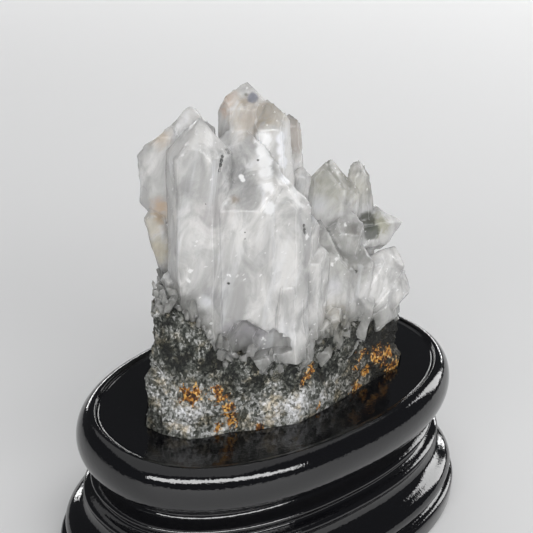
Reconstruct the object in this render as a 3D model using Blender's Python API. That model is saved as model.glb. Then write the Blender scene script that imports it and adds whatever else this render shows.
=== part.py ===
"""Quartz cluster on its matrix rock, resting in a carved oval display stand.

Metres, +Z up. The origin is under the middle of the stand, on the surface it stands on.
The stand's long axis is X, and the cluster's tall wall of crystals is at its -X end.
"""

import math
import random

import bmesh
import bpy
from mathutils import Matrix, Vector, noise

MM = 0.001

# Driving dimensions
RIM_LENGTH = 120 * MM
RIM_WIDTH = 76 * MM
STAND_HEIGHT = 46 * MM
OVAL_EXPONENT = 2.25
STAND_SEGMENTS = 42
PLATE_DROP = 1 * MM
POCKET_DEPTH = 3 * MM
FIT_GAP = 0.3 * MM

ROCK_LEVELS = 11
ROCK_STATIONS = 60
ROCK_LUMP = 1.5 * MM
ROCK_LUMP_SIZE = 7 * MM
FINE_LUMPS = (2.3, 0.6)  # how many times closer together, and how high as a part of a lump
LEDGES = (0.7, 2.2, 0.8)  # the same across and upwards, and their height
FULL_LUMPS_ABOVE = 3 * MM
ROCK_CROWN = (0.7, 0.35)  # the crown's rings as parts of the upper edge

RHOMB_ANGLE = math.radians(51.8)
SEED = 11

# Side profile of the stand from the rim's inner edge down to the foot: how far each ring
# stands out from the rim's outer oval, and its height (mm)
RIM_HALF_DEPTH = 4.8
RIM_HALF_HEIGHT = 7.15
RIM_STEPS = 6
PLATE_EDGE = 0.8
BELOW_RIM = [
    (-6.8, 30.9), (-7.6, 29.2), (-7.0, 27.4), (-5.2, 26.6),
    (-3.6, 25.4), (-4.4, 24.2), (-4.9, 23.0), (-3.2, 22.2),
    (-1.6, 21.0), (-2.6, 19.8), (-3.0, 18.2), (-2.3, 16.0), (-0.6, 14.3),
    (1.4, 13.3), (2.9, 12.0), (3.4, 10.1), (2.9, 8.2), (1.9, 7.0),
    (2.3, 6.5), (4.4, 6.2), (4.8, 5.0), (4.8, 1.0), (4.2, 0.0),
]

# The rock's outline on the plate, the way round that keeps its inside on the left: x, y,
# height of its upper edge, and how far that edge leans in (mm)
ROCK_OUTLINE = [
    (-43, 2, 81, 2.5), (-41.5, -4, 80, 2), (-37.5, -10, 75, 3.5), (-33, -12, 68, 3),
    (-27, -13.5, 66, 0.5), (-21, -16.5, 66, 1), (-9.5, -21, 65, 1), (2, -20, 66, 1),
    (14, -18.5, 67, 0.5), (25, -17, 67, 1), (34, -16.5, 64, 2), (38.5, -13, 60, 4),
    (47, 0.5, 54, 4), (46, 9, 56, 3), (38, 17, 60, 3), (24, 21, 66, 3),
    (8, 22, 70, 2.5), (-10, 22.5, 74, 2.5), (-25, 20.5, 78, 2.5), (-36, 10, 80, 2.5),
]

# One crystal: root and tip (mm), width and depth across it (mm), the compass angle that
# its front faces, how far above the tip each of its six end faces meets its axis (mm,
# from the front face round), its width at the tip as a part of that at the root, and the
# same six values for its lower end where that shows
SHARP = (0, 3, 0, 3, 0, 3)
BLUNT = (-3, 0, -2, 1, -2, 0)
CRYSTALS = [
    # Tall front wall
    ((-28, -2, 64), (-28.3, 1.5, 129), 18, 18, 224, (3, 0, 0, 3, 0, 0), 0.92),
    ((-19.2, -7.4, 66), (-21.2, -3.4, 128), 28, 16, 229, (-13, -3, 2, 4, 2, -4), 0.92),
    ((-11, -13.5, 66), (-11.5, -10.5, 113), 17, 12, 231, (2, 1, 2, 3, 2, 3), 0.95),
    ((-28.3, -4.8, 64), (-27.8, -3.2, 92), 13, 9, 226, SHARP, 0.4),
    ((-12, -17.5, 64), (-11.4, -15.8, 88), 11, 9, 230, SHARP, 0.35),
    # Crystals behind the wall's top
    ((-13, 0, 80), (-12, 4, 134), 15, 12, 225, (0, 2, 1, 3, 0, 3), 0.85),
    ((-24, 8, 80), (-25, 9, 129), 13, 11, 228, (-1, -2, 0, 2, 0, 1), 0.92),
    ((-22, 4, 100), (-23, 5, 128), 6, 5, 240, BLUNT, 0.8),
    ((-7, -8, 80), (-9, -1, 135), 12, 11, 232, (-6, 0, -4, 0, -4, -2), 0.86),
    ((7, -5, 70), (3, 3, 124), 6, 6, 240, (-1, 0, -1, 0, 0, 0), 0.8),
    ((-29, 12, 95), (-30, 12, 127), 15, 7, 226, (-2, 0, -2, 0, -4, -2), 0.95, (0, 2, -3, 0, 2, 1)),
    ((-28, 8, 76), (-34, 13, 102), 8, 5, 215, (0, 0, 0, 0, 0, 0), 0.6),
    ((-32, 6, 72), (-33, 9, 83), 8, 7, 215, BLUNT, 0.7),
    # Right group
    ((-1, -7, 86), (2, -4, 111), 6, 5, 235, SHARP, 0.9),
    ((-1, -11, 80), (0, -10, 101), 8, 8, 225, SHARP, 0.8),
    ((14, -3, 70), (17, 1, 111), 17, 12, 228, (2, -2, -2, 2, -3, 1), 0.95),
    ((19, -4, 78), (20.5, -2, 104), 11, 9, 240, (0, 0, 0, 0, -1, 0), 0.9),
    ((26, -5, 74), (24, -3, 109), 9.5, 8, 240, (0, -2, 0, 0, 0, -2), 0.6),
    ((16, -1, 85), (37.5, -9, 88), 14, 11, 240, (0, 0, 0, 0, 0, 0), 0.95),
    ((14, -7, 76), (19, -7, 98), 12, 10, 245, BLUNT, 0.9),
    ((-2, -12, 66), (0, -9.5, 97), 14, 12, 240, BLUNT, 0.95),
    ((6, -9, 66), (9, -6.5, 96), 26, 15, 250, (-2, -3, 0, 3, 0, -2), 0.9),
    ((14, -10, 66), (18.5, -8.5, 91), 20, 13, 256, BLUNT, 0.9),
    ((3, -14, 62), (8, -12.5, 74), 16, 11, 255, BLUNT, 0.9),
    ((13, -13, 62), (20, -12, 79), 18, 11, 258, BLUNT, 0.9),
    ((21, -12, 68), (33.5, -13, 85.5), 13, 10, 245, BLUNT, 0.9),
    ((23, -14, 66), (35.5, -16.5, 78), 11, 9, 250, BLUNT, 0.85),
    ((22, -14, 64), (33, -17.5, 71), 10, 9, 250, BLUNT, 0.85),
    # Low crystals that end on the rock's face
    ((-23, 1, 86), (-33, -8.5, 71), 8, 6, 226, SHARP, 0.8),
    ((-20, -3, 76), (-27.4, -12.3, 66.5), 9, 6, 224, SHARP, 0.8),
    ((-13, -8, 72), (-19.6, -17.2, 61.5), 10, 7, 228, SHARP, 0.8),
    ((-2, -11, 70), (-8.6, -20.2, 60), 9, 7, 230, SHARP, 0.8),
    ((6, -10, 69), (-0.8, -19.8, 58.5), 9, 6, 236, SHARP, 0.8),
    ((15, -9, 65), (8.3, -19.7, 55), 11, 7, 240, BLUNT, 0.9),
    # Back of the cluster
    ((-18, 10, 62), (-17, 13, 118), 13, 12, 60, SHARP, 0.9),
    ((-6, 10, 60), (-6, 14, 112), 13, 11, 80, BLUNT, 0.9),
    ((5, 8, 58), (7, 13, 103), 12, 10, 75, SHARP, 0.9),
    ((16, 7, 58), (20, 12, 94), 12, 10, 60, SHARP, 0.9),
    ((26, 4, 58), (32, 7, 84), 10, 9, 30, SHARP, 0.85),
    ((32, -2, 56), (38, 0, 74), 9, 8, 10, BLUNT, 0.85),
    # Thick quartz at the middle that they all grew from
    ((-22, 4, 62), (-22, 5, 104), 24, 18, 228, BLUNT, 0.9),
    ((-4, 0, 60), (-3, 2, 96), 24, 20, 228, BLUNT, 0.9),
    ((14, 0, 58), (15, 0, 88), 24, 20, 228, BLUNT, 0.9),
    ((27, -3, 56), (28, -4, 74), 18, 16, 228, BLUNT, 0.9),
]

# Where the wall's lower edge has broken away above the rock, and the pits in its face, as
# the crystal shapes that are cut out of it
BREAKS = [
    ((-21.5, -14.5, 67), (-23, -11.2, 77.5), 12, 8, 228, SHARP, 1.0),
    ((-16.5, -17, 67), (-17.5, -14.6, 75.5), 12, 8, 232, (-2, 0, 1, 0, 2, -1), 1.0),
    ((-27.5, -10.5, 68), (-28, -8.5, 73), 5, 5, 226, SHARP, 1.0),
    ((-27.9, -6.9, 116.8), (-26.5, -6, 120.3), 1.2, 2.2, 228, SHARP, 0.8),
    ((-24, -4.8, 120), (-23.6, -4.4, 121.8), 1.6, 1.8, 228, SHARP, 0.8),
]

# Short crystals between the tall ones and the rock's upper edge, from the front of the
# wall all the way round the back
SMALL_START = 0.2
SMALL_COUNT = 34
SMALL_WIDTH = (4, 7)
SMALL_RISE = (2, 7)
SMALL_REACH = (0.84, 0.92)  # their tips as a part of the way out to the rock's outline
SMALL_ROOT = 0.6
SMALL_SINK = 4


def clear_scene():
    for old in list(bpy.data.objects):
        bpy.data.objects.remove(old, do_unlink=True)


def new_collection(name):
    made = bpy.data.collections.new(name)
    bpy.context.scene.collection.children.link(made)
    return made


def make_object(name, shape, collection):
    mesh = bpy.data.meshes.new(name)
    shape.to_mesh(mesh)
    shape.free()
    made = bpy.data.objects.new(name, mesh)
    collection.objects.link(made)
    return made


def make_guide(made):
    made.hide_render = True
    made.display_type = "WIRE"


def make_material(name, colour, roughness, metallic=0.0):
    material = bpy.data.materials.new(name)
    material.use_nodes = True
    shader = material.node_tree.nodes["Principled BSDF"]
    shader.inputs["Base Color"].default_value = (*colour, 1.0)
    shader.inputs["Roughness"].default_value = roughness
    shader.inputs["Metallic"].default_value = metallic
    return material


def cut_off(shape, point, normal):
    """Take away what lies past a plane and close the cut."""
    everything = shape.verts[:] + shape.edges[:] + shape.faces[:]
    cut = bmesh.ops.bisect_plane(
        shape, geom=everything, dist=1e-7, plane_co=point, plane_no=normal, clear_outer=True)
    rim = [item for item in cut["geom_cut"] if isinstance(item, bmesh.types.BMEdge)]
    if rim:
        bmesh.ops.edgeloop_fill(shape, edges=rim)


def end_crystal(shape, height, rises, grow, up):
    """Cut the six rhomb faces of one end."""
    for side, rise in enumerate(rises):
        turn = math.radians(60 * side)
        normal = Vector((
            math.sin(RHOMB_ANGLE) * math.cos(turn),
            math.sin(RHOMB_ANGLE) * math.sin(turn),
            math.cos(RHOMB_ANGLE) * up))
        cut_off(shape, Vector((0, 0, height + up * rise * MM)) + normal * grow, normal)


def crystal_shape(root, tip, wide, deep, facing, rises, taper, foot=None, grow=0.0):
    """A six-sided prism that six rhomb faces bring to an end at the tip."""
    root = Vector(root) * MM
    axis = Vector(tip) * MM - root
    length = axis.length
    axis.normalize()
    half = wide * MM / 2
    spread = grow / math.cos(math.radians(30))
    spare = half * 2

    shape = bmesh.new()
    bmesh.ops.create_cone(
        shape, cap_ends=True, segments=6, radius1=half + spread,
        radius2=half * taper + spread, depth=length + spare + grow,
        matrix=Matrix.Translation((0, 0, (length + spare - grow) / 2)))
    bmesh.ops.scale(shape, vec=(deep / wide, 1, 1), verts=shape.verts)

    end_crystal(shape, length, rises, grow, 1)
    if foot:
        end_crystal(shape, 0.0, foot, grow, -1)
    bmesh.ops.recalc_face_normals(shape, faces=shape.faces)

    turn = math.radians(facing)
    front = Vector((math.cos(turn), math.sin(turn), 0))
    front = (front - axis * front.dot(axis)).normalized()
    place = Matrix((front, axis.cross(front), axis)).transposed().to_4x4()
    place.translation = root
    bmesh.ops.transform(shape, matrix=place, verts=shape.verts)
    return shape


def oval_point(turn, half_length, half_width):
    """A point of a superellipse, a little squarer than a plain ellipse."""
    power = 2 / OVAL_EXPONENT
    across, along = math.cos(turn), math.sin(turn)
    return (
        half_length * math.copysign(abs(across) ** power, across),
        half_width * math.copysign(abs(along) ** power, along))


def add_ring(shape, points, height):
    return [shape.verts.new((x, y, height)) for x, y in points]


def join_rings(shape, lower, upper):
    count = len(lower)
    for step in range(count):
        after = (step + 1) % count
        shape.faces.new((lower[step], lower[after], upper[after], upper[step]))


def stand_rings():
    """Out-step and height of every ring of the stand, from the foot up to the plate."""
    rings = []
    for step in range(RIM_STEPS + 1):
        turn = math.radians(90 - 180 * step / RIM_STEPS)
        out = RIM_HALF_DEPTH * (math.cos(turn) - 1)
        rings.append((out, STAND_HEIGHT / MM - RIM_HALF_HEIGHT * (1 - math.sin(turn))))
    rings.insert(0, (-RIM_HALF_DEPTH - PLATE_EDGE, (STAND_HEIGHT - PLATE_DROP) / MM))
    return list(reversed(rings + BELOW_RIM))


def make_stand(collection):
    shape = bmesh.new()
    below = None
    for out, height in stand_rings():
        half_length = RIM_LENGTH / 2 + out * MM
        half_width = RIM_WIDTH / 2 + out * MM
        turns = [2 * math.pi * step / STAND_SEGMENTS for step in range(STAND_SEGMENTS)]
        points = [oval_point(turn, half_length, half_width) for turn in turns]
        ring = add_ring(shape, points, height * MM)
        if below:
            join_rings(shape, below, ring)
        else:
            shape.faces.new(reversed(ring))
        below = ring
    shape.faces.new(below)
    stand = make_object("wooden_stand", shape, collection)
    stand.data.materials.append(make_material("black lacquer", (0.012, 0.012, 0.013), 0.15))
    return stand


def rock_station(turn):
    """The rock's outline at a part of the way round, between its hand-set points."""
    place = turn * len(ROCK_OUTLINE)
    index = int(place)
    share = place - index
    before = ROCK_OUTLINE[index % len(ROCK_OUTLINE)]
    after = ROCK_OUTLINE[(index + 1) % len(ROCK_OUTLINE)]
    return [low + (high - low) * share for low, high in zip(before, after)]


def rock_shape(bottom, grow=0.0, levels=ROCK_LEVELS):
    """Rings from the flat bottom up to the upper edge, then a low crown over the middle."""
    shape = bmesh.new()
    stations = [rock_station(step / ROCK_STATIONS) for step in range(ROCK_STATIONS)]
    centre = Vector((0, 0, 0))
    below = None
    for level in range(levels):
        share = level / (levels - 1)
        ring = []
        for x, y, top, lean in stations:
            height = bottom + (top * MM - bottom) * share
            out = Vector((x, y, 0)).normalized()
            side = Vector((x, y, 0)) * MM + out * (grow - lean * MM * share)
            ring.append(shape.verts.new((side.x, side.y, height)))
        if below:
            join_rings(shape, below, ring)
        else:
            shape.faces.new(reversed(ring))
        below = ring
    for inset in ROCK_CROWN:
        ring = []
        for vert in below:
            spot = centre + (vert.co - centre) * inset
            ring.append(shape.verts.new((spot.x, spot.y, vert.co.z)))
        join_rings(shape, below, ring)
        below = ring
    shape.faces.new(below)
    return shape


def roughen(shape, plate):
    """Push the rock in and out in lumps and ledges, above the plate that it stands in."""
    shape.normal_update()
    closer, fine = FINE_LUMPS
    across, up, high = LEDGES
    moves = []
    for vert in shape.verts:
        place = vert.co / ROCK_LUMP_SIZE
        swell = noise.noise(place) + fine * noise.noise(place * closer)
        ledge = noise.noise(Vector((place.x * across, place.y * across, place.z * up)))
        free = min(1.0, max(0.0, vert.co.z - plate) / FULL_LUMPS_ABOVE)
        moves.append(vert.normal * ROCK_LUMP * (swell + high * ledge) * free)
    for vert, move in zip(shape.verts, moves):
        vert.co += move


def make_rock(collection, guides):
    plate = STAND_HEIGHT - PLATE_DROP
    bottom = plate - POCKET_DEPTH + FIT_GAP
    shape = rock_shape(bottom)
    roughen(shape, plate)
    rock = make_object("matrix_rock", shape, collection)
    rock.data.materials.append(make_material("granular rock", (0.30, 0.30, 0.28), 0.85))

    pocket = make_object("stand_pocket", rock_shape(bottom - FIT_GAP, 2 * FIT_GAP, 2), guides)
    make_guide(pocket)
    return rock, pocket


def add_cut(target, cutter):
    cut = target.modifiers.new("cut", "BOOLEAN")
    cut.operation = "DIFFERENCE"
    cut.solver = "EXACT"
    cut.object = cutter


def small_crystals():
    """Short crystals that lean out over the rock's upper edge."""
    chance = random.Random(SEED)
    specs = []
    for number in range(SMALL_COUNT):
        share = (number + chance.uniform(0.2, 0.8)) / SMALL_COUNT
        x, y, top, lean = rock_station(SMALL_START + (1 - SMALL_START) * share)
        reach = chance.uniform(*SMALL_REACH)
        tip = (x * reach, y * reach, top + chance.uniform(*SMALL_RISE))
        root = (x * SMALL_ROOT, y * SMALL_ROOT, top - SMALL_SINK)
        wide = chance.uniform(*SMALL_WIDTH)
        facing = math.degrees(math.atan2(y, x)) + chance.uniform(-20, 20)
        specs.append((root, tip, wide, wide * 0.9, facing, SHARP, 0.85))
    return specs


def drop_chips(made):
    """Keep the largest piece of an object whose cuts left loose chips."""
    depsgraph = bpy.context.evaluated_depsgraph_get()
    shape = bmesh.new()
    shape.from_mesh(made.evaluated_get(depsgraph).data)
    left = set(shape.verts)
    pieces = []
    while left:
        piece = set()
        reached = [left.pop()]
        while reached:
            vert = reached.pop()
            piece.add(vert)
            near = {edge.other_vert(vert) for edge in vert.link_edges} & left
            left -= near
            reached.extend(near)
        pieces.append(piece)
    pieces.sort(key=len)
    for chip in pieces[:-1]:
        bmesh.ops.delete(shape, geom=list(chip), context="VERTS")
    made.modifiers.clear()
    shape.to_mesh(made.data)
    shape.free()


def make_quartz(collection, guides, name, grow):
    """All crystals, grown together into one solid."""
    joined = None
    others = bpy.data.collections.new(name + "_members")
    guides.children.link(others)
    for number, spec in enumerate(CRYSTALS + small_crystals()):
        shape = crystal_shape(*spec, grow=grow)
        if joined is None:
            joined = make_object(name, shape, collection)
        else:
            member = make_object("%s_%02d" % (name, number), shape, others)
            make_guide(member)
    join = joined.modifiers.new("grown together", "BOOLEAN")
    join.operation = "UNION"
    join.solver = "EXACT"
    join.operand_type = "COLLECTION"
    join.collection = others
    return joined


def break_away(quartz, guides):
    """Cut the broken places and pits out of the wall."""
    for number, spec in enumerate(BREAKS):
        place = make_object("break_%d" % number, crystal_shape(*spec), guides)
        make_guide(place)
        add_cut(quartz, place)
    drop_chips(quartz)


def main():
    clear_scene()
    cluster = new_collection("quartz cluster")
    guides = new_collection("guides")

    stand = make_stand(cluster)
    rock, pocket = make_rock(cluster, guides)
    add_cut(stand, pocket)

    quartz = make_quartz(cluster, guides, "quartz_crystals", 0.0)
    break_away(quartz, guides)
    quartz.data.materials.append(make_material("quartz", (0.85, 0.85, 0.84), 0.15))
    sockets = make_quartz(guides, guides, "crystal_sockets", FIT_GAP)
    make_guide(sockets)
    add_cut(rock, sockets)
    drop_chips(rock)


main()
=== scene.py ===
import bpy
import math
import random
from mathutils import Matrix, Vector
from mathutils.bvhtree import BVHTree


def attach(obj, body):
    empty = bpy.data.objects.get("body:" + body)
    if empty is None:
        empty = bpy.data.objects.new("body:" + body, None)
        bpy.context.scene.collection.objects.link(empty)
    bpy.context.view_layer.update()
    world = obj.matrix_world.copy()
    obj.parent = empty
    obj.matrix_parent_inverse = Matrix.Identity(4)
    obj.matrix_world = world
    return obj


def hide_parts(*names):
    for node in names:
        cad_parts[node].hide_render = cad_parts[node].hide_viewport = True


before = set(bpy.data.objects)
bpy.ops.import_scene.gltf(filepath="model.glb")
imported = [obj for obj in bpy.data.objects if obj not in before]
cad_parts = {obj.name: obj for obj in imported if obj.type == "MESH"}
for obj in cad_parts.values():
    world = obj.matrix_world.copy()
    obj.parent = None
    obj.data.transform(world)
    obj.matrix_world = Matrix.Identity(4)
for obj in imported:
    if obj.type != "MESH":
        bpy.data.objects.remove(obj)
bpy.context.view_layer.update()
mm = 0.001


# objects and edit mode

def deselectAll():
    if bpy.context.object and bpy.context.object.mode != "OBJECT":
        bpy.ops.object.mode_set(mode="OBJECT")
    bpy.ops.object.select_all(action="DESELECT")


def pick(piece):
    deselectAll()
    piece.select_set(True)
    bpy.context.view_layer.objects.active = piece


def editAll(piece):  # edit mode with all of it selected
    pick(piece)
    bpy.ops.object.mode_set(mode="EDIT")
    bpy.ops.mesh.select_all(action="SELECT")


def leaveEdit():
    bpy.ops.object.mode_set(mode="OBJECT")


def copyOfNode(nodeName, pieceName):  # a merged copy of a CAD node's mesh
    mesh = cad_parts[nodeName].data.copy()
    piece = bpy.data.objects.new(pieceName, mesh)
    bpy.context.scene.collection.objects.link(piece)
    mesh.materials.clear()
    editAll(piece)
    bpy.ops.mesh.remove_doubles(threshold=0.02 * mm)
    leaveEdit()
    return piece


def applyAll(piece):
    pick(piece)
    for made in list(piece.modifiers):
        bpy.ops.object.modifier_apply(modifier=made.name)


def addModifier(piece, kind, **settings):
    made = piece.modifiers.new(kind.lower(), kind)
    for name, value in settings.items():
        setattr(made, name, value)
    return made


def cutAcross(piece, axis, step):  # an edge every step along an axis, for waves to bend
    places = [vert.co[axis] for vert in piece.data.vertices]
    normal = [0.0, 0.0, 0.0]
    normal[axis] = 1.0
    count = int((max(places) - min(places)) / step)
    editAll(piece)
    for number in range(count):
        point = [0.0, 0.0, 0.0]
        point[axis] = min(places) + step * (number + 0.5)
        bpy.ops.mesh.select_all(action="SELECT")
        bpy.ops.mesh.bisect(plane_co=point, plane_no=normal)
    leaveEdit()


def raiseBy(piece, kind, size, height, turn=(0, 0, 0), group="", middle=0.5, **look):
    # push the surface in and out by a texture stretched to size along X, Y and Z
    pattern = bpy.data.textures.new("pattern", kind)
    pattern.noise_scale = 1.0
    for name, value in look.items():
        setattr(pattern, name, value)
    guide = bpy.data.objects.new("guide", None)
    bpy.context.scene.collection.objects.link(guide)
    guide.scale = size
    guide.rotation_euler = [math.radians(angle) for angle in turn]
    bpy.context.view_layer.update()
    addModifier(
        piece, "DISPLACE", texture=pattern, texture_coords="OBJECT",
        texture_coords_object=guide, strength=height, mid_level=middle, vertex_group=group)
    applyAll(piece)
    bpy.data.objects.remove(guide)
    bpy.data.textures.remove(pattern)


def surfaceOf(nodeName):  # a CAD node's surface, for rays and distances
    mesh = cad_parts[nodeName].data
    return BVHTree.FromPolygons(
        [vert.co for vert in mesh.vertices], [face.vertices for face in mesh.polygons])


def markNear(piece, nodeName, reach, groupName=""):
    # the attribute near, 1 at another piece and 0 at reach, and a vertex group like it
    surface = surfaceOf(nodeName)
    layer = piece.data.attributes.new("near", "FLOAT", "POINT")
    group = piece.vertex_groups.new(name=groupName) if groupName else None
    for vert in piece.data.vertices:
        share = max(0.0, 1 - surface.find_nearest(vert.co)[3] / reach)
        layer.data[vert.index].value = share
        if group and share > 0:
            group.add([vert.index], share, "REPLACE")


# materials

class Value:  # a socket that sums can be written with
    def __init__(self, finish, socket):
        self.finish = finish
        self.socket = socket

    def sum(self, kind, *others):
        return self.finish.add("ShaderNodeMath", {"operation": kind}, [self, *others])

    def __add__(self, other):
        return self.sum("ADD", other)

    __radd__ = __add__

    def __sub__(self, other):
        return self.sum("SUBTRACT", other)

    def __rsub__(self, other):
        return self.finish.add("ShaderNodeMath", {"operation": "SUBTRACT"}, [other, self])

    def __mul__(self, other):
        return self.sum("MULTIPLY", other)

    __rmul__ = __mul__

    def __truediv__(self, other):
        return self.sum("DIVIDE", other)

    def orMore(self, other):  # the larger of the two
        return self.sum("MAXIMUM", other)

    def limited(self):  # kept between 0 and 1
        return self.finish.add(
            "ShaderNodeMath", {"operation": "ADD", "use_clamp": True}, [self, 0.0])

    def between(self, low, high):  # 0 below low, 1 above high, smooth between them
        return self.finish.add(
            "ShaderNodeMapRange", {"interpolation_type": "SMOOTHSTEP"},
            {"Value": self, "From Min": low, "From Max": high})


class Finish:  # a material and the nodes in it
    def __init__(self, name):
        self.material = bpy.data.materials.new(name)
        self.material.use_nodes = True
        self.tree = self.material.node_tree
        self.tree.nodes.clear()
        self.output = self.tree.nodes.new("ShaderNodeOutputMaterial")
        self.place = self.add("ShaderNodeTexCoord", out="Object")

    def add(self, kind, settings=None, values=None, out=0):
        node = self.tree.nodes.new(kind)
        for name, value in (settings or {}).items():
            if name == "stops":
                self.setStops(node.color_ramp, value)
            else:
                setattr(node, name, value)
        pairs = values.items() if isinstance(values, dict) else enumerate(values or [])
        for name, value in pairs:
            socket = node.inputs[name]
            if isinstance(value, Value):
                self.tree.links.new(value.socket, socket)
            else:
                socket.default_value = value
        return Value(self, node.outputs[out])

    def setStops(self, ramp, stops):
        while len(ramp.elements) < len(stops):
            ramp.elements.new(0.5)
        for element, (place, colour) in zip(ramp.elements, stops):
            element.position = place
            element.color = (*colour, 1.0)

    def part(self, axis):  # one of the place's X, Y and Z
        return self.add("ShaderNodeSeparateXYZ", None, {"Vector": self.place}, axis)

    def stretched(self, size, turn=(0, 0, 0)):  # places in units of size along X, Y and Z
        return self.add(
            "ShaderNodeMapping", {"vector_type": "TEXTURE"},
            {"Vector": self.place, "Rotation": [math.radians(angle) for angle in turn],
             "Scale": size})

    def clouds(self, size, detail=4.0, roughness=0.5, turn=(0, 0, 0), warp=0.0):
        return self.add(
            "ShaderNodeTexNoise", {"noise_dimensions": "3D"},
            {"Vector": self.stretched(size, turn), "Scale": 1.0, "Detail": detail,
             "Roughness": roughness, "Distortion": warp})

    def cells(self, size, turn=(0, 0, 0)):  # one number for each cell
        colour = self.add(
            "ShaderNodeTexVoronoi", None,
            {"Vector": self.stretched(size, turn), "Scale": 1.0}, "Color")
        return self.add("ShaderNodeSeparateColor", None, {"Color": colour}, 0)

    def mark(self, name):  # one of the mesh's own attributes
        return self.add("ShaderNodeAttribute", {"attribute_name": name}, None, "Fac")

    def colourMix(self, share, low, high, blend="MIX"):
        low, high = [
            colour if isinstance(colour, Value) else (*colour, 1.0) for colour in (low, high)]
        return self.add(
            "ShaderNodeMix", {"data_type": "RGBA", "blend_type": blend},
            {0: share, 6: low, 7: high}, 2)  # the sockets that mix colours

    def spot(self, centre, radius, ragged, grain, core=0.45):
        # 1 at a place (mm), falling to 0 from core to the whole radius
        away = self.add(
            "ShaderNodeVectorMath", {"operation": "DISTANCE"},
            [self.place, [side * mm for side in centre]], "Value")
        away = away / (radius * mm) + (grain - 0.5) * ragged
        return 1 - away.between(core, 1.0)

    def spots(self, places, ragged, grain):
        total = None
        for centre, radius in places:
            one = self.spot(centre, radius, ragged, grain)
            total = one if total is None else total.orMore(one)
        return total

    def bump(self, height, depth, normal=None):
        values = {"Height": height, "Distance": depth, "Strength": 1.0}
        if normal is not None:
            values["Normal"] = normal
        return self.add("ShaderNodeBump", None, values)

    def shade(self, values):
        return self.add("ShaderNodeBsdfPrincipled", None, values)

    def materialOf(self, surface):
        self.tree.links.new(surface.socket, self.output.inputs["Surface"])
        return self.material


# camera, first so that everything can be looked at as it is made

viewpoint = {
    "place": (-0.19865, -0.21731, 0.22501),
    "azimuth": -41.72, "elevation": 26.15, "roll": 3.10,
    "lens": 81.1, "sensor": 36.0, "nearest": 0.01,
}


def makeCamera():
    turn = (
        Matrix.Rotation(math.radians(viewpoint["azimuth"]), 4, "Z")
        @ Matrix.Rotation(math.radians(90 - viewpoint["elevation"]), 4, "X")
        @ Matrix.Rotation(math.radians(viewpoint["roll"]), 4, "Z"))
    deselectAll()
    bpy.ops.object.camera_add(location=viewpoint["place"], rotation=turn.to_euler())
    camera = bpy.context.object
    camera.data.lens = viewpoint["lens"]
    camera.data.sensor_width = viewpoint["sensor"]
    camera.data.clip_start = viewpoint["nearest"]
    bpy.context.scene.camera = camera
    print("camera ready")


# quartz

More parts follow.
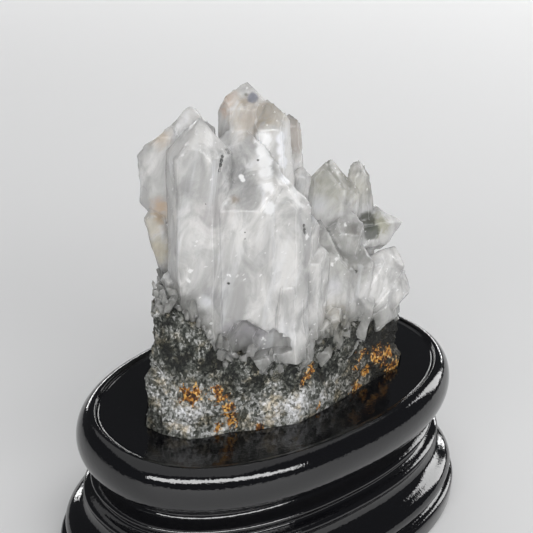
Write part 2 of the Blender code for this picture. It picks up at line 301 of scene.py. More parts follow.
quartz = {
    "cellSize": 0.95 * mm,
    "columnHeight": 0.8 * mm, "columnSize": (4.5 * mm, 4.5 * mm, 70 * mm),
    "scoopHeight": 0.7 * mm, "scoopSize": (7 * mm, 7 * mm, 13 * mm),
    "swellHeight": 1.2 * mm, "swellSize": (8 * mm, 8 * mm, 14 * mm),
    "chipHeight": 0.9 * mm, "chipSize": (1.5 * mm, 1.5 * mm, 1.9 * mm),
    "brokenHeight": 1.6 * mm, "brokenSize": (3.4 * mm, 3.4 * mm, 4.5 * mm),
    "lean": (6, 7, 0),  # how the growth lines lean, degrees
    "scoopTurn": (25, 18, 40), "brokenTurn": (15, 30, 0), "chipMiddle": 0.3,
    "brokenReach": 7 * mm,  # how far above the rock the crystals are broken, and darker by their own colour and painted shade
    "flatAngle": 0.5, "edgeAngle": 50, "smoothAngle": 38,
    "patterns": {  # size along X, Y and Z (mm), detail, roughness, turn, warp
        "lines": ((0.9, 0.9, 16), 3, 0.55, (6, 7, 0), 0.0),
        "bands": ((3.6, 3.6, 42), 4, 0.55, (6, 7, 0), 0.3),
        "cloudy": ((7, 7, 13), 5, 0.55, (6, 7, 0), 0.8),
        "flaws": ((3.0, 3.0, 4.5), 6, 0.62, (30, 50, 10), 1.6),
        "grain": ((0.9, 0.9, 0.9), 4, 0.6, (0, 0, 0), 0.0),
    },
    "planeSize": (3.4 * mm, 3.4 * mm, 12 * mm), "planeTurn": (28, 24, 15),
    "sparkSize": (0.4 * mm, 0.4 * mm, 0.9 * mm), "sparkTurn": (40, 20, 0),
    "watery": (0.68, 0.675, 0.665), "milk": (0.86, 0.85, 0.835), "white": (0.97, 0.975, 0.97),
    "tints": [  # pattern, where it begins and is full, how much of it shows, colour
        ("bands", 0.52, 0.72, 0.55, (0.86, 0.87, 0.90)),
        ("bands", 0.50, 0.30, 0.30, (0.50, 0.49, 0.48)),
        ("lines", 0.50, 0.80, 0.30, (0.92, 0.92, 0.94)),
        ("planes", 0.60, 1.0, 0.22, (0.48, 0.48, 0.49)),
        ("flaws", 0.56, 0.74, 0.38, (0.44, 0.44, 0.44)),
    ],
    "lowColourAndShadeTint": (0.26, 0.265, 0.24), "lowColourAndShadeShare": 0.8,  # beside the rock: the crystals' own darker colour and painted shade
    # painted shade in the valleys between crystals
    "valleyShadeTint": (0.30, 0.30, 0.30), "valleyShadeShare": 0.35,
    # white outer edges: chipped wear and a painted highlight
    "wornAndSheenTint": (0.95, 0.95, 0.95), "wornAndSheenShare": 0.15,
    # painted glints: sparkles and small highlights painted white
    "paintedGlintTint": (1.0, 1.0, 1.0), "paintedSparkleShare": 0.5, "glintShare": 0.7,
    "speckTint": (0.02, 0.02, 0.018), "speckShare": 0.93,
    "strongSpot": 0.75,  # a stain or painted highlight that shows this much is crisp and dulls the clear body
    "bandRelief": 0.25 * mm, "lineRelief": 0.05 * mm, "flawRelief": 0.18 * mm,
    "refraction": 1.54, "milkDepth": 1.3 * mm,
    "clearLeast": 0.16, "clearBetween": 0.26, "clearRight": 0.26, "clearTips": 0.12,
    "clearLow": 0.25,  # shares of the clear body: all over, between clouds, and by place
    "smallCount": 170, "seed": 5,
    "smallSize": (0.6 * mm, 1.7 * mm),  # half the width of a small crystal
    "tipMiddle": 2.9, "tipLength": 1.1, "tipEnd": 0.08, "stemLength": 2.6,  # in half widths
    "smallUp": (0.4, 1.3), "smallOut": (-0.1, 0.5), "smallAskew": 0.6,  # its direction
    "smallFlat": (0.5, 1.0), "smallLength": (0.7, 1.3), "smallClimb": (-1.5, 4.5),
    "smallInward": 0.9, "smallSunk": 1.7, "smallShade": 0.75,
    "searchOval": (0.075, 0.055), "searchAxis": 0.034,  # where rays start and what they aim at
    "searchTop": 0.090, "searchStep": 0.0006, "searchSteps": 60,
    "stainsAndPaintedLight": [  # stains, painted highlights and painted shade: place and reach (mm), colour, how much of it shows
        ((-32.6, 11, 102.8), 3.4, (0.74, 0.47, 0.23), 0.68),
        ((-33.2, 10.4, 99.6), 2.6, (0.70, 0.50, 0.28), 0.6),
        ((-32.9, 10.8, 121.1), 4.4, (0.60, 0.46, 0.31), 0.55),
        ((-35.5, 2, 112), 7, (0.55, 0.55, 0.53), 0.4),
        ((-34.2, -2.5, 113), 4, (0.34, 0.34, 0.34), 0.5),
        ((-18.6, 5.4, 127.6), 4.0, (0.66, 0.42, 0.26), 0.6),
        ((-16.2, 4.4, 131), 3.6, (0.66, 0.50, 0.38), 0.5),
        ((-14.3, -1, 126), 6.5, (0.52, 0.41, 0.29), 0.6),
        ((-13.6, 1.2, 129.6), 3.0, (0.46, 0.37, 0.25), 0.5),
        ((-12.3, 0.2, 130.9), 1.9, (0.20, 0.21, 0.26), 0.85),
        ((-13.4, 1.6, 131.8), 1.1, (0.12, 0.12, 0.09), 0.85),
        ((-9, -3.3, 127.5), 6.0, (0.58, 0.50, 0.38), 0.6),
        ((2.8, -0.2, 118), 9.0, (0.50, 0.43, 0.36), 0.65),
        ((-1.5, -1.6, 114), 4.5, (0.24, 0.22, 0.20), 0.6),
        ((-23.7, -8.1, 109.2), 1.7, (0.42, 0.32, 0.22), 0.7),
        ((-33.8, 11.3, 90.4), 6.5, (0.64, 0.56, 0.38), 0.6),
        ((-35, 12, 97), 4.5, (0.70, 0.62, 0.46), 0.5),
        ((28, -9.5, 90), 5.0, (0.34, 0.33, 0.17), 0.7),
        ((24.6, -7.6, 91.1), 3.6, (0.035, 0.038, 0.022), 0.9),
        ((25.2, -9.3, 88), 3.2, (0.04, 0.048, 0.035), 0.85),
        ((16.8, -9.9, 91.2), 2.8, (0.13, 0.11, 0.105), 0.72),
        ((14, -2, 103), 10.0, (0.36, 0.35, 0.25), 0.7),
        ((24, -4, 100), 8.0, (0.50, 0.48, 0.38), 0.6),
        ((12, -12, 86), 13.0, (0.44, 0.44, 0.40), 0.6),
        ((6, -15, 67), 10.0, (0.46, 0.42, 0.33), 0.7),
        ((20, -13, 66), 7.0, (0.42, 0.40, 0.34), 0.6),
        ((-8, -18.5, 84), 5.5, (0.44, 0.44, 0.43), 0.5),
        ((-20, -12, 70.5), 7.5, (0.40, 0.38, 0.42), 0.65),
        ((-26, -10.8, 74), 4.0, (0.48, 0.46, 0.50), 0.55),
        ((-34, -4, 120), 5.0, (0.46, 0.46, 0.46), 0.4),
        # painted shade: the tilted lens face made greyer
        ((-22, -5, 117.5), 6.5, (0.33, 0.33, 0.325), 0.74),
        ((-21, -6.5, 112), 6.5, (0.36, 0.36, 0.36), 0.7),
        ((-17.5, -4, 119), 4.5, (0.44, 0.44, 0.44), 0.6),
        ((-30, -7, 106), 6.5, (0.60, 0.56, 0.56), 0.45),
        ((-27.2, -6.8, 112), 1.6, (0.36, 0.36, 0.37), 0.5),
        ((-31, -9, 85), 3.4, (0.38, 0.38, 0.40), 0.5),
        # painted highlight: a bright strip where a face catches the light
        ((-12.9, -5, 121.7), 2.7, (0.97, 0.97, 0.98), 0.9),
        ((-13.5, -6.3, 119.3), 2.6, (0.97, 0.97, 0.98), 0.9),
        ((-14.2, -7.8, 116.9), 2.5, (0.97, 0.97, 0.98), 0.9),
        ((-15.0, -9.4, 114.5), 2.4, (0.97, 0.97, 0.98), 0.9),
        ((-16.0, -11.5, 111.6), 2.0, (0.97, 0.97, 0.98), 0.85),
        ((-17.2, -13.8, 107.2), 2.1, (0.97, 0.97, 0.98), 0.85),
        # painted highlight: a lighter strip on the next face
        ((-8.7, -7.8, 122), 2.3, (0.90, 0.91, 0.95), 0.8),
        ((-8.6, -8.2, 119), 2.3, (0.90, 0.91, 0.95), 0.8),
        ((-8.5, -8.8, 116), 2.3, (0.90, 0.91, 0.95), 0.8),
        ((-10.2, -11.3, 112.8), 2.2, (0.90, 0.91, 0.95), 0.8),
        # a painted glint
        ((-20.4, -6.2, 113.8), 0.9, (1.0, 1.0, 1.0), 0.95),
        ((-20.1, -6.6, 112.8), 0.8, (1.0, 1.0, 1.0), 0.95),
        ((10.7, -2.5, 97.3), 4.0, (0.85, 0.86, 0.90), 0.6),
        ((-13.7, -19.6, 74), 5.0, (0.93, 0.93, 0.94), 0.7),
        ((-32, -7.9, 83), 2.6, (0.92, 0.93, 0.96), 0.7),
        ((7, -14.8, 79), 4.0, (0.82, 0.82, 0.86), 0.55),
    ],
    "specks": [  # dark grains in the crystals, mm
        ((-27.6, -6.8, 117.3), 0.8), ((-27.2, -6.6, 118.3), 1.0), ((-26.8, -6.4, 119.3), 0.9),
        ((-26.5, -6.2, 120.4), 0.7), ((-15.6, -6.7, 117.3), 0.45), ((-31.7, -6.6, 109.3), 0.35),
        ((-34.3, 6, 102.9), 0.5), ((-26, -9.7, 87.3), 0.55), ((-23, -11.7, 101.4), 0.35),
        ((-23.4, -12.2, 99.8), 0.4), ((-23.6, -12.2, 98.6), 0.3), ((14.7, -14.3, 81), 0.8),
        ((-24, -4.6, 120.7), 0.6), ((-8.1, -17.0, 101.4), 0.7), ((-8.0, -17.1, 100.3), 0.8),
        ((-7.8, -17.2, 99.4), 0.6),
    ],
    "glints": [  # painted glints: small painted highlights on cracks, mm
        ((-7, -17, 98), 1.0), ((6.4, -13.6, 85.1), 0.9), ((7.8, -13.9, 86.4), 0.8),
        ((23.5, -8.9, 84), 0.7), ((15.5, -8.6, 92.7), 0.7), ((-34.6, -4.8, 91.4), 0.8),
        ((-35, -4.5, 88.6), 0.7), ((-26, -9.4, 89.5), 0.7), ((3, -15.8, 75), 1.0),
        ((-16, -12.5, 69), 0.8),
    ],
}


def markEdges(piece):  # outer edges as a vertex group and an attribute, valleys as another
    sharp = math.radians(quartz["edgeAngle"])
    sides = {}
    for face in piece.data.polygons:
        for key in face.edge_keys:
            sides.setdefault(key, []).append(face)
    outer, valley = set(), set()
    for key, faces in sides.items():
        if len(faces) == 2 and faces[0].normal.angle(faces[1].normal, 0) > sharp:
            across = faces[1].center - faces[0].center
            (outer if across.dot(faces[0].normal) < 0 else valley).update(key)
    piece.vertex_groups.new(name="edges").add(list(outer), 1.0, "REPLACE")
    for name, chosen in (("worn", outer), ("valley", valley)):
        layer = piece.data.attributes.new(name, "FLOAT", "POINT")
        for index in chosen:
            layer.data[index].value = 1.0


def quartzFinish():
    finish = Finish("quartz")
    look = {
        name: finish.clouds([side * mm for side in size], detail, roughness, turn, warp)
        for name, (size, detail, roughness, turn, warp) in quartz["patterns"].items()}
    look["planes"] = finish.cells(quartz["planeSize"], quartz["planeTurn"])
    sparks = finish.cells(quartz["sparkSize"], quartz["sparkTurn"])
    bands, cloudy, flaws, grain = look["bands"], look["cloudy"], look["flaws"], look["grain"]
    edges, valley, near = finish.mark("worn"), finish.mark("valley"), finish.mark("near")

    tint = finish.colourMix(cloudy.between(0.34, 0.66), quartz["watery"], quartz["milk"])
    for name, start, full, share, colour in quartz["tints"]:
        tint = finish.colourMix(look[name].between(start, full) * share, tint, colour)
    inside = None  # the strong stains and strong painted highlights, which dull the clear body
    for centre, reach, colour, share in quartz["stainsAndPaintedLight"]:
        strong = share >= quartz["strongSpot"]
        ragged, core = (0.7, 0.55) if strong else (1.4, 0.15)
        spotOfColour = finish.spot(centre, reach, ragged, flaws, core)
        tint = finish.colourMix(spotOfColour * share, tint, colour)
        if strong:
            inside = spotOfColour if inside is None else inside.orMore(spotOfColour)
    # darker beside the rock: partly the crystals' own colour, partly painted shade between the
    # parts
    low = (near * (0.5 + flaws)).limited()
    tint = finish.colourMix(low * quartz["lowColourAndShadeShare"], tint, quartz["lowColourAndShadeTint"])
    # painted shade: the valleys between crystals are darkened
    tint = finish.colourMix(
        valley.between(0.5, 1.0) * quartz["valleyShadeShare"], tint, quartz["valleyShadeTint"])
    # outer edges whitened: partly chipped wear, partly painted highlight
    worn = (edges + (grain - 0.5) * 1.2).between(0.45, 0.95)
    tint = finish.colourMix(worn * quartz["wornAndSheenShare"], tint, quartz["wornAndSheenTint"])
    # painted glints: sparkles and small bright spots painted white
    paintedGlints = (sparks.between(0.990, 0.996) * quartz["paintedSparkleShare"]).orMore(
        finish.spots(quartz["glints"], 3.0, grain) * quartz["glintShare"])
    tint = finish.colourMix(paintedGlints, tint, quartz["paintedGlintTint"])
    specks = finish.spots(quartz["specks"], 1.4, grain)
    tint = finish.colourMix(specks * quartz["speckShare"], tint, quartz["speckTint"])

    relief = finish.bump(bands, quartz["bandRelief"])
    relief = finish.bump(look["lines"], quartz["lineRelief"], relief)
    relief = finish.bump(flaws, quartz["flawRelief"], relief)
    rough = 0.10 + cloudy * 0.16 + edges * 0.15
    milky = finish.shade({
        "Base Color": tint, "Roughness": rough, "Normal": relief, "IOR": quartz["refraction"],
        "Transmission Weight": 0.12, "Subsurface Weight": 0.8,
        "Subsurface Radius": (1.0, 0.98, 0.95), "Subsurface Scale": quartz["milkDepth"]})
    clear = finish.shade({
        "Base Color": finish.colourMix(0.5, quartz["white"], tint), "Roughness": rough * 0.7,
        "Normal": relief, "IOR": quartz["refraction"], "Transmission Weight": 0.96})
    right = finish.part(0).between(-8 * mm, 20 * mm) * finish.part(2).between(70 * mm, 92 * mm)
    tips = finish.part(2).between(112 * mm, 134 * mm)
    share = (
        cloudy.between(0.62, 0.36) * quartz["clearBetween"] + right * quartz["clearRight"]
        + tips * quartz["clearTips"] + near * quartz["clearLow"] + quartz["clearLeast"])
    share = share * (1 - paintedGlints) * (1 - inside * 0.85) * (1 - bands.between(0.52, 0.72) * 0.4)
    return finish.materialOf(
        finish.add("ShaderNodeMixShader", None, [share.limited(), milky, clear]))


def smallCrystal():  # a stub with six sides and a point, its root at the origin
    deselectAll()
    bpy.ops.mesh.primitive_cone_add(
        vertices=6, radius1=1.0, radius2=quartz["tipEnd"], depth=quartz["tipLength"],
        location=(0, 0, quartz["tipMiddle"]))
    bpy.ops.object.transform_apply(location=True, rotation=True, scale=True)
    piece = bpy.context.object
    editAll(piece)
    bpy.ops.mesh.select_mode(type="FACE")
    bpy.ops.mesh.select_all(action="DESELECT")
    leaveEdit()
    for face in piece.data.polygons:
        face.select = face.normal.z < -0.9
    bpy.ops.object.mode_set(mode="EDIT")
    bpy.ops.mesh.extrude_region_move(
        TRANSFORM_OT_translate={"value": (0, 0, -quartz["stemLength"])})
    bpy.ops.mesh.select_all(action="SELECT")
    leaveEdit()
    return piece


def borderPlaces():  # where the crystals' surface gives way to the rock's, and the way out
    rockSide, quartzSide = surfaceOf("matrix_rock"), surfaceOf("quartz_crystals")
    luck = random.Random(quartz["seed"])
    long, wide = quartz["searchOval"]
    places = []
    for number in range(quartz["smallCount"]):
        turn = 2 * math.pi * (number + luck.random()) / quartz["smallCount"]
        start = Vector((long * math.cos(turn), wide * math.sin(turn), 0))
        aim = Vector((quartz["searchAxis"] * math.cos(turn), 0, 0))
        inward = (aim - start).normalized()
        above = False
        for step in range(quartz["searchSteps"]):
            start.z = quartz["searchTop"] - quartz["searchStep"] * step
            rockPlace, _, _, rockAway = rockSide.ray_cast(start, inward)
            quartzPlace, _, _, quartzAway = quartzSide.ray_cast(start, inward)
            quartzSeen = quartzPlace is not None and (
                rockPlace is None or quartzAway < rockAway)
            if above and not quartzSeen and rockPlace is not None:
                places.append((rockPlace, -inward))
                break
            above = quartzSeen
    return places, luck


def growSmallCrystals():
    first = smallCrystal()
    pieces = []
    places, luck = borderPlaces()
    askew = quartz["smallAskew"]
    for place, outward in places:
        copy = first.copy()
        copy.data = first.data.copy()
        bpy.context.scene.collection.objects.link(copy)
        low, high = quartz["smallSize"]
        wide = low + (high - low) * luck.random() ** 2
        grow = Vector((0, 0, 1)) * luck.uniform(*quartz["smallUp"])
        grow += outward * luck.uniform(*quartz["smallOut"])
        grow += Vector([luck.uniform(-askew, askew) for axis in range(3)])
        grow.normalize()
        spin = Matrix.Rotation(luck.uniform(0, 6.3), 4, "Z")
        size = Matrix.Diagonal((
            wide * luck.uniform(*quartz["smallFlat"]), wide,
            wide * luck.uniform(*quartz["smallLength"]), 1))
        up = Vector((0, 0, luck.uniform(*quartz["smallClimb"]) * mm))
        seat = Matrix.Translation(
            place + up - outward * quartz["smallInward"] * wide
            - grow * quartz["smallSunk"] * wide)
        tilt = grow.to_track_quat("Z", "Y").to_matrix().to_4x4()
        copy.data.transform(seat @ tilt @ size @ spin)
        layer = copy.data.attributes.new("near", "FLOAT", "POINT")
        for mark in layer.data:
            mark.value = quartz["smallShade"]
        pieces.append(copy)
    bpy.data.objects.remove(first)
    print("small crystals:", len(pieces))
    return pieces


def makeQuartz():
    piece = copyOfNode("quartz_crystals", "quartz_body")
    editAll(piece)
    bpy.ops.mesh.dissolve_limited(angle_limit=math.radians(quartz["flatAngle"]))
    leaveEdit()
    for axis in (2, 0, 1):
        cutAcross(piece, axis, quartz["cellSize"])
    addModifier(piece, "TRIANGULATE")
    applyAll(piece)
    markEdges(piece)
    markNear(piece, "matrix_rock", quartz["brokenReach"], "broken")
    addModifier(piece, "SMOOTH", factor=0.5, iterations=2)
    applyAll(piece)
    raiseBy(piece, "CLOUDS", quartz["swellSize"], quartz["swellHeight"])
    raiseBy(
        piece, "VORONOI", quartz["columnSize"], -quartz["columnHeight"], quartz["lean"])
    raiseBy(
        piece, "VORONOI", quartz["scoopSize"], -quartz["scoopHeight"], quartz["scoopTurn"])
    raiseBy(
        piece, "VORONOI", quartz["brokenSize"], -quartz["brokenHeight"], quartz["brokenTurn"],
        group="broken")
    raiseBy(
        piece, "CLOUDS", quartz["chipSize"], -quartz["chipHeight"], group="edges",
        middle=quartz["chipMiddle"])
    pick(piece)
    bpy.ops.object.shade_smooth_by_angle(angle=math.radians(quartz["smoothAngle"]))
    small = growSmallCrystals()
    deselectAll()
    for one in [*small, piece]:
        one.select_set(True)
    bpy.context.view_layer.objects.active = piece
    bpy.ops.object.join()
    piece.data.materials.append(quartzFinish())
    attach(piece, "root")
    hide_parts("quartz_crystals")
    print("quartz ready:", len(piece.data.polygons), "faces")


# rock

rock = {
    "cellSize": 0.62 * mm,
    "lumpHeight": 1.5 * mm, "lumpSize": 3.2 * mm,
    "grainHeight": 0.8 * mm, "grainSize": 1.0 * mm, "grainMiddle": 0.3,
    "plate": 45.2 * mm, "fade": 2 * mm,  # smooth up to the plate, rough from a little above
    "paintedShadeReach": 6 * mm,  # how far below the crystals the rock gets painted shade
    "grains": (0.6 * mm, 0.6 * mm, 0.75 * mm), "fine": (0.4 * mm, 0.4 * mm, 0.4 * mm),
    "clumps": (1.7 * mm, 1.7 * mm, 2.2 * mm), "patch": (6 * mm, 6 * mm, 6 * mm),
    "warmSize": (4 * mm, 4 * mm, 4 * mm), "warmTurn": (40, 20, 0),
    "warmTint": (0.80, 0.66, 0.42), "warmShare": 0.75,
    "rightTint": (0.80, 0.62, 0.48), "rightShare": 0.6,
    "greys": [
        (0.38, (0.008, 0.009, 0.008)), (0.50, (0.040, 0.044, 0.036)),
        (0.60, (0.13, 0.135, 0.12)), (0.70, (0.34, 0.345, 0.33)),
        (0.80, (0.66, 0.66, 0.66)), (0.92, (0.90, 0.90, 0.93)),
    ],
    "rusts": [
        (0.30, (0.035, 0.014, 0.006)), (0.45, (0.22, 0.075, 0.012)),
        (0.58, (0.55, 0.24, 0.035)), (0.72, (0.78, 0.46, 0.12)),
        (0.85, (0.86, 0.74, 0.50)),
    ],
    "relief": 0.9 * mm,
    "rust": [  # places on its face and how far each patch reaches, mm
        ((-37, -9, 57.5), 3.2), ((-35.5, -9.8, 58.6), 2.4), ((-29.7, -12.4, 56.5), 2.6),
        ((-30.6, -12, 58.4), 2.0), ((-27.6, -14, 53), 2.2), ((-27, -14.2, 50.5), 2.2),
        ((-26.6, -13.6, 47.8), 2.4), ((-30, -12.6, 46.4), 1.8),
        ((-19.5, -16.9, 45.3), 1.6), ((-7.8, -20, 56.6), 1.6), ((-6.4, -20, 57.6), 1.8),
        ((-4.5, -19.8, 58.9), 2.2), ((15, -18, 45.4), 2.8), ((16.3, -18, 55.8), 2.4),
        ((14.0, -18, 53.4), 2.0), ((23.5, -17, 53.2), 3.4), ((28.3, -16.6, 50.6), 3.4),
        ((31, -17, 46), 3.2), ((20, -17.5, 49), 2.2), ((-1, -19.9, 46.4), 1.4),
    ],
    "dark": [  # darker places, mm
        ((-38.5, -5, 68), 5), ((-39.5, -3, 79), 4.5), ((-33, -10, 65), 5), ((-27, -13, 61), 5),
        ((-21, -16, 58.5), 4.5), ((-12, -19, 58), 5), ((2, -19, 57), 6), ((12, -18, 59), 6),
        ((22.4, -16.7, 57), 7), ((32, -16, 58), 6), ((-42, -1.5, 47), 5), ((26, -17, 47), 6),
    ],
    "pale": [  # paler places, mm
        ((-39.7, -6.5, 48.2), 2.8), ((-37, -8, 47.2), 2.4), ((-37.5, -7, 80), 2.0),
        ((-10, -20.5, 49.5), 6), ((-16, -18.5, 50), 5), ((-36, -8.5, 53), 5),
    ],
}


def rockFinish():
    finish = Finish("granular rock")
    grains = finish.cells(rock["grains"])
    fine = finish.clouds(rock["fine"], 3, 0.7)
    clumps = finish.clouds(rock["clumps"], 5, 0.65, warp=0.8)
    patch = finish.clouds(rock["patch"], 4, 0.6, warp=0.6)
    near = finish.mark("near")
    right = finish.part(0).between(-2 * mm, 34 * mm)
    dark = finish.spots(rock["dark"], 1.8, patch)
    pale = finish.spots(rock["pale"], 1.4, clumps)
    tone = grains * 0.26 + fine * 0.34 + clumps * 0.62 + patch * 0.42 - 0.19
    # painted shade: the rock darker near the crystals above it
    tone = tone - dark * 0.13 + pale * 0.14 - right * 0.15 - near * 0.10
    base = finish.add("ShaderNodeValToRGB", {"stops": rock["greys"]}, {"Fac": tone})
    warm = finish.clouds(rock["warmSize"], 4, 0.6, rock["warmTurn"]).between(0.46, 0.68)
    base = finish.colourMix(warm * rock["warmShare"], base, rock["warmTint"], "MULTIPLY")
    base = finish.colourMix(right * rock["rightShare"], base, rock["rightTint"], "MULTIPLY")
    rust = finish.add(
        "ShaderNodeValToRGB", {"stops": rock["rusts"]}, {"Fac": grains * 0.55 + fine * 0.45})
    halo = finish.spots(rock["rust"], 4.0, clumps)
    share = (halo * (0.45 + clumps + fine * 0.6)).between(0.45, 0.95)
    return finish.materialOf(finish.shade({
        "Base Color": finish.colourMix(share, base, rust),
        "Roughness": 0.68 - grains.between(0.80, 0.95) * 0.45,  # some grains glisten
        "Normal": finish.bump(tone, rock["relief"]), "IOR": 1.5}))


def makeRock():
    piece = copyOfNode("matrix_rock", "rock_body")
    for axis in (2, 0, 1):
        cutAcross(piece, axis, rock["cellSize"])
    addModifier(piece, "TRIANGULATE")
    applyAll(piece)
    group = piece.vertex_groups.new(name="free")
    for vert in piece.data.vertices:
        share = (vert.co.z - rock["plate"]) / rock["fade"]
        group.add([vert.index], min(1.0, max(0.0, share)), "REPLACE")
    lump, grain = rock["lumpSize"], rock["grainSize"]
    raiseBy(piece, "CLOUDS", (lump, lump, lump), rock["lumpHeight"], group="free")
    raiseBy(
        piece, "CLOUDS", (grain, grain, grain), rock["grainHeight"], group="free",
        middle=rock["grainMiddle"], noise_depth=2, noise_type="HARD_NOISE")
    markNear(piece, "quartz_crystals", rock["paintedShadeReach"])
    piece.data.materials.append(rockFinish())
    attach(piece, "root")
    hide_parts("matrix_rock")
    print("rock ready:", len(piece.data.polygons), "faces")


# stand

stand = {
    "halfLength": 60 * mm, "halfWidth": 38 * mm, "power": 2.25, "segments": 192,
    "rimDepth": 4.8, "rimHeight": 7.15, "rimSteps": 14, "top": 46.0, "plate": 45.0,  # mm
    "pocketFloor": 42 * mm, "cutterHeight": 8 * mm, "smoothAngle": 62,
    "grain": (0.8 * mm, 0.8 * mm, 0.8 * mm), "grainRelief": 0.04 * mm,
    "flow": (7 * mm, 7 * mm, 4 * mm), "flowRelief": 0.08 * mm,
    "black": (0.003, 0.003, 0.004), "dust": (0.03, 0.03, 0.032), "refraction": 1.7,
    "bead": [  # between the plate and the rim: step in from the rim's top and height, mm
        (-1.8, 0.0), (-1.45, 0.0), (-1.3, 0.02), (-1.2, 0.12), (-1.07, 0.24), (-0.92, 0.28),
        (-0.77, 0.24), (-0.66, 0.12), (-0.58, 0.02), (-0.42, 0.25), (-0.24, 0.7), (-0.10, 0.93),
    ],
    "profile": [  # below the rim: out-step from the rim's oval and height, mm
        (-6.0, 31.35), (-6.8, 30.9), (-7.4, 30.1), (-7.6, 29.2), (-7.5, 28.2), (-7.0, 27.4),
        (-6.2, 26.9), (-5.2, 26.6), (-4.2, 26.2), (-3.7, 25.8), (-3.6, 25.4), (-3.8, 24.9),
        (-4.4, 24.3), (-4.8, 23.7), (-4.9, 23.1), (-4.4, 22.6), (-3.2, 22.3), (-2.1, 21.9),
        (-1.6, 21.4), (-1.6, 20.8), (-2.0, 20.2), (-2.6, 19.7), (-2.95, 19.0), (-3.0, 18.2),
        (-2.8, 17.1), (-2.3, 16.0), (-1.6, 15.1), (-0.6, 14.3), (0.4, 13.8), (1.4, 13.3),
        (2.3, 12.7), (2.9, 11.9), (3.3, 11.0), (3.4, 10.1), (3.3, 9.2), (2.9, 8.3),
        (2.4, 7.5), (1.9, 7.0), (2.0, 6.7), (3.4, 6.55), (4.3, 6.2), (4.7, 5.6),
        (4.8, 5.0), (4.8, 1.0), (4.6, 0.4), (4.2, 0.0),
    ],
}


def lacquerFinish():
    finish = Finish("black lacquer")
    dust = finish.clouds(stand["grain"], 6, 0.75).between(0.62, 0.80)
    relief = finish.bump(finish.clouds(stand["flow"], 3, 0.5), stand["flowRelief"])
    relief = finish.bump(finish.clouds(stand["grain"], 2, 0.5), stand["grainRelief"], relief)
    return finish.materialOf(finish.shade({
        "Base Color": finish.colourMix(dust, stand["black"], stand["dust"]),
        "Roughness": 0.05 + dust * 0.25, "Normal": relief, "IOR": stand["refraction"]}))


def standProfile():  # rim's inner edge, round the rim, and down to the foot
    rings = [
        (-stand["rimDepth"] + step, stand["plate"] + height) for step, height in stand["bead"]]
    for step in range(stand["rimSteps"] + 1):
        turn = math.radians(90 - 180 * step / stand["rimSteps"])
        rings.append((
            stand["rimDepth"] * (math.cos(turn) - 1),
            stand["top"] - stand["rimHeight"] * (1 - math.sin(turn))))
    return rings + stand["profile"]


def ovalSize(out):  # half length and half width of the oval that is out from the rim's
    return stand["halfLength"] + out * mm, stand["halfWidth"] + out * mm


def pocketCutter():  # the pocket's floor in the CAD stand, drawn up into a block
    cutter = copyOfNode("wooden_stand", "pocket")
    editAll(cutter)
    bpy.ops.mesh.select_mode(type="FACE")
    bpy.ops.mesh.select_all(action="DESELECT")
    leaveEdit()
    for face in cutter.data.polygons:
        away = abs(face.center.z - stand["pocketFloor"])
        face.select = not (away < 0.05 * mm and face.normal.z > 0.9)
    bpy.ops.object.mode_set(mode="EDIT")
    bpy.ops.mesh.delete(type="FACE")
    bpy.ops.mesh.select_all(action="SELECT")
    bpy.ops.mesh.dissolve_limited(angle_limit=math.radians(1))
    bpy.ops.mesh.extrude_region_move(
        TRANSFORM_OT_translate={"value": (0, 0, stand["cutterHeight"])})
    bpy.ops.mesh.select_all(action="SELECT")
    bpy.ops.mesh.normals_make_consistent(inside=False)
    leaveEdit()
    return cutter


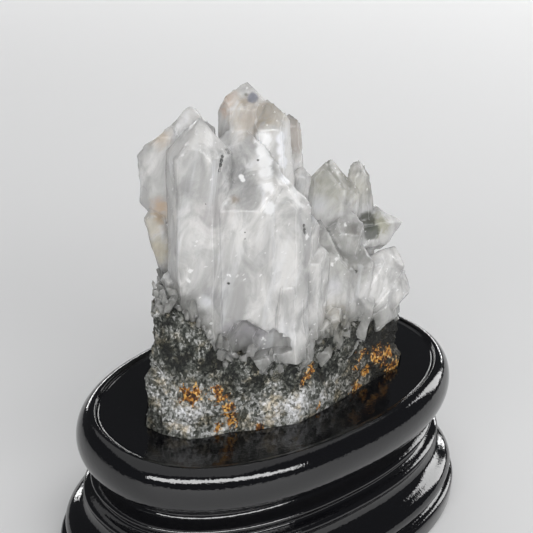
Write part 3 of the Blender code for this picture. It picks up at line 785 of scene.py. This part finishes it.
def makeStand():
    deselectAll()
    bpy.ops.mesh.primitive_circle_add(
        vertices=stand["segments"], radius=1.0, fill_type="NGON", location=(0, 0, 0))
    piece = bpy.context.object
    piece.name = "stand_body"
    rings = list(reversed(standProfile()))
    long, wide = ovalSize(rings[0][0])
    power = 2 / stand["power"]
    for vert in piece.data.vertices:
        x, y = vert.co.x, vert.co.y
        vert.co.x = long * math.copysign(abs(x) ** power, x)
        vert.co.y = wide * math.copysign(abs(y) ** power, y)
    editAll(piece)
    for before, after in zip(rings, rings[1:]):
        bpy.ops.mesh.extrude_region_move(
            TRANSFORM_OT_translate={"value": (0, 0, (after[1] - before[1]) * mm)})
        long, wide = ovalSize(before[0])
        newLong, newWide = ovalSize(after[0])
        bpy.ops.transform.resize(
            value=(newLong / long, newWide / wide, 1), center_override=(0, 0, 0))
    bpy.ops.mesh.select_all(action="SELECT")
    bpy.ops.mesh.normals_make_consistent(inside=False)
    leaveEdit()
    cutter = pocketCutter()
    addModifier(piece, "BOOLEAN", operation="DIFFERENCE", solver="EXACT", object=cutter)
    applyAll(piece)
    bpy.data.objects.remove(cutter)
    pick(piece)
    bpy.ops.object.shade_smooth_by_angle(angle=math.radians(stand["smoothAngle"]))
    for face in piece.data.polygons:
        if face.normal.z > 0.9999:  # the plate is flat
            face.use_smooth = False
    piece.data.materials.clear()
    piece.data.materials.append(lacquerFinish())
    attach(piece, "root")
    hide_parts("wooden_stand")
    print("stand ready:", len(piece.data.polygons), "faces")


# floor, light and background

studio = {
    "floorSize": 4.0, "floorColour": (0.82, 0.82, 0.82), "floorRoughness": 0.6,
    "sky": (0.92, 0.95, 1.0), "skyStrength": 0.08,
    "lights": [  # name, place, what it points at, width, height, power
        ("key", (-0.55, -0.92, 0.66), (0, 0, 0.04), 2.4, 0.30, 18.0),
        ("top", (-0.10, 0.10, 1.00), (0, 0, 0.08), 1.60, 1.60, 3.6),
        ("side", (0.95, -0.10, 0.40), (0, 0, 0.08), 0.30, 0.50, 2.4),
        ("back", (0.75, 0.85, 0.28), (0, 0, 0.06), 1.80, 0.10, 6.0),
    ],
}


def makeStudio():
    deselectAll()
    bpy.ops.mesh.primitive_plane_add(size=studio["floorSize"], location=(0, 0, 0))
    floor = bpy.context.object
    floor.name = "floor"
    finish = Finish("floor")
    finish.tree.nodes.remove(finish.place.socket.node)  # a plain colour needs no place
    floor.data.materials.append(finish.materialOf(finish.shade({
        "Base Color": (*studio["floorColour"], 1), "Roughness": studio["floorRoughness"]})))
    for name, place, target, width, height, power in studio["lights"]:
        deselectAll()
        bpy.ops.object.light_add(type="AREA", location=place)
        light = bpy.context.object
        light.name = name
        light.data.shape = "RECTANGLE"
        light.data.size = width
        light.data.size_y = height
        light.data.energy = power
        away = Vector(place) - Vector(target)
        light.rotation_euler = away.to_track_quat("Z", "Y").to_euler()
    bpy.context.scene.view_settings.view_transform = "Standard"
    world = bpy.data.worlds.new("studio")
    bpy.context.scene.world = world
    world.use_nodes = True
    sky = world.node_tree.nodes["Background"]
    sky.inputs["Color"].default_value = (*studio["sky"], 1)
    sky.inputs["Strength"].default_value = studio["skyStrength"]
    print("studio ready")


# all of it

makeCamera()
makeStand()
makeRock()
makeQuartz()
makeStudio()
